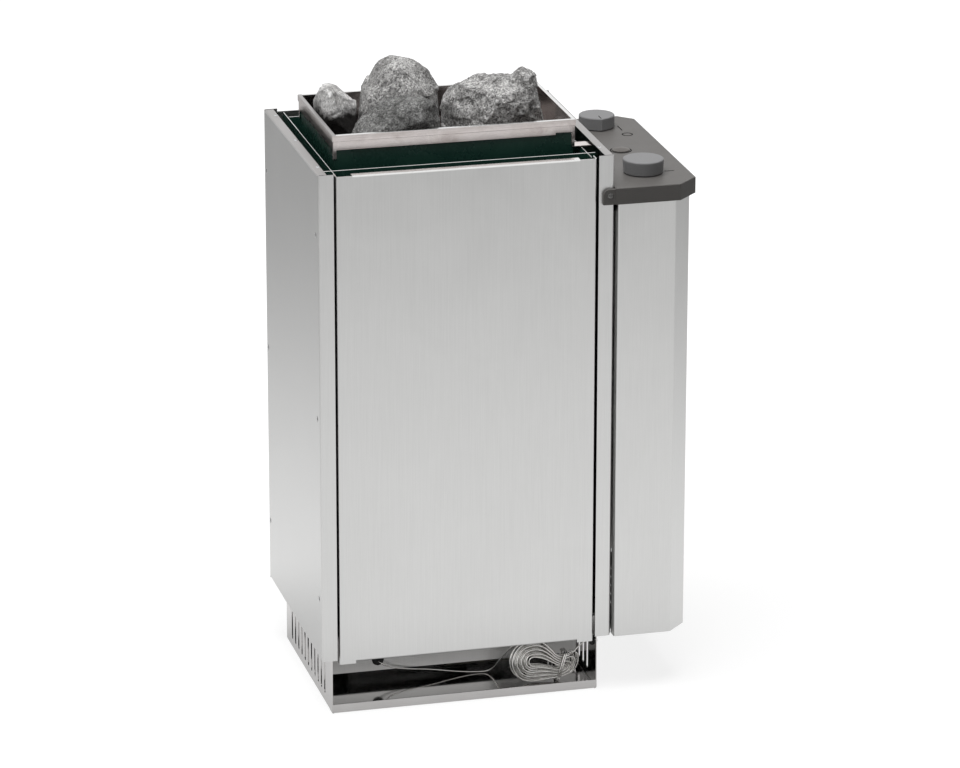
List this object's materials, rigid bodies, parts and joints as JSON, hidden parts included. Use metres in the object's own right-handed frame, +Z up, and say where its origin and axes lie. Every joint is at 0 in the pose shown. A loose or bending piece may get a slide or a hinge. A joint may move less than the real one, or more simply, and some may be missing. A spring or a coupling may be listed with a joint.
{
  "type": "sauna heater stove",
  "caption": "Electric sauna heater: stainless casing with air ducts, heated stone container on top, slotted base tray, and a side control box with timer and thermostat knobs.",
  "frame": {"origin": "on the base plane, under the middle of the overall plan, control box and cap included", "axes": "+X to the right as seen from the front, towards the control box; +Y back, towards the wall; +Z up"},
  "size_m": [0.394, 0.259, 0.6478],
  "materials": {
    "casing_steel": "brushed stainless sheet, fine grain",
    "tray_steel": "bright rolled stainless sheet, mirror-like inside",
    "rim_steel": "brushed stainless, warm grey from heat",
    "dark_steel": "smooth steel darkened by heat, reflects the dark inside",
    "element_steel": "oxidised tubular steel",
    "stone": "broken grey granite, rough and speckled",
    "cap_plastic": "matte moulded plastic, dark warm grey",
    "knob_plastic": "matte moulded plastic, grey",
    "black_plastic": "matte black plastic",
    "lens": "smoked gloss plastic",
    "ceramic": "unglazed steatite",
    "rubber": "matte",
    "capillary": "drawn bright tube",
    "shaft_steel": "turned steel"
  },
  "bodies": {
    "stove": {"base_tray": "tray_steel", "capillary_bush": "rubber", "capillary_grommet": "rubber", "capillary_hank": "capillary", "capillary_lead_in": "capillary", "capillary_lead_out": "capillary", "control_cap": "cap_plastic", "control_cover": "casing_steel", "control_mount_plate": "casing_steel", "deck_plate": "casing_steel", "front_inner_shield": "dark_steel", "front_panel": "casing_steel", "hank_tie": "capillary", "heating_element_1": "element_steel", "heating_element_2": "element_steel", "heating_element_3": "element_steel", "indicator_lens": "lens", "left_inner_shield": "dark_steel", "left_side_panel": "casing_steel", "mains_gland": "black_plastic", "rear_inner_shield": "dark_steel", "rear_panel": "casing_steel", "right_inner_shield": "dark_steel", "right_side_panel": "casing_steel", "safety_cutout": "black_plastic", "stone_chamber": "dark_steel", "stone_frame": "rim_steel", "stone_front": "stone", "stone_grate": "dark_steel", "stone_left": "stone", "stone_low_1": "stone", "stone_low_2": "stone", "stone_low_3": "stone", "stone_low_4": "stone", "stone_low_5": "stone", "stone_low_6": "stone", "stone_rear": "stone", "stone_right": "stone", "terminal_block": "ceramic", "terminal_guard": "casing_steel", "thermostat_switch": "black_plastic", "timer_switch": "black_plastic"},
    "timer_knob": {"timer_knob": "knob_plastic", "timer_shaft": "shaft_steel"},
    "thermostat_knob": {"thermostat_knob": "knob_plastic", "thermostat_shaft": "shaft_steel"}
  },
  "joints": [
    {"name": "timer_turn", "type": "hinge", "parent": "stove", "child": "timer_knob", "pos_m": [0.15, 0.0945, 0.543], "axis": [0, 0, -1], "range_deg": [0, 300]},
    {"name": "thermostat_turn", "type": "hinge", "parent": "stove", "child": "thermostat_knob", "pos_m": [0.15, -0.0795, 0.543], "axis": [0, 0, -1], "range_deg": [0, 270]}
  ]
}
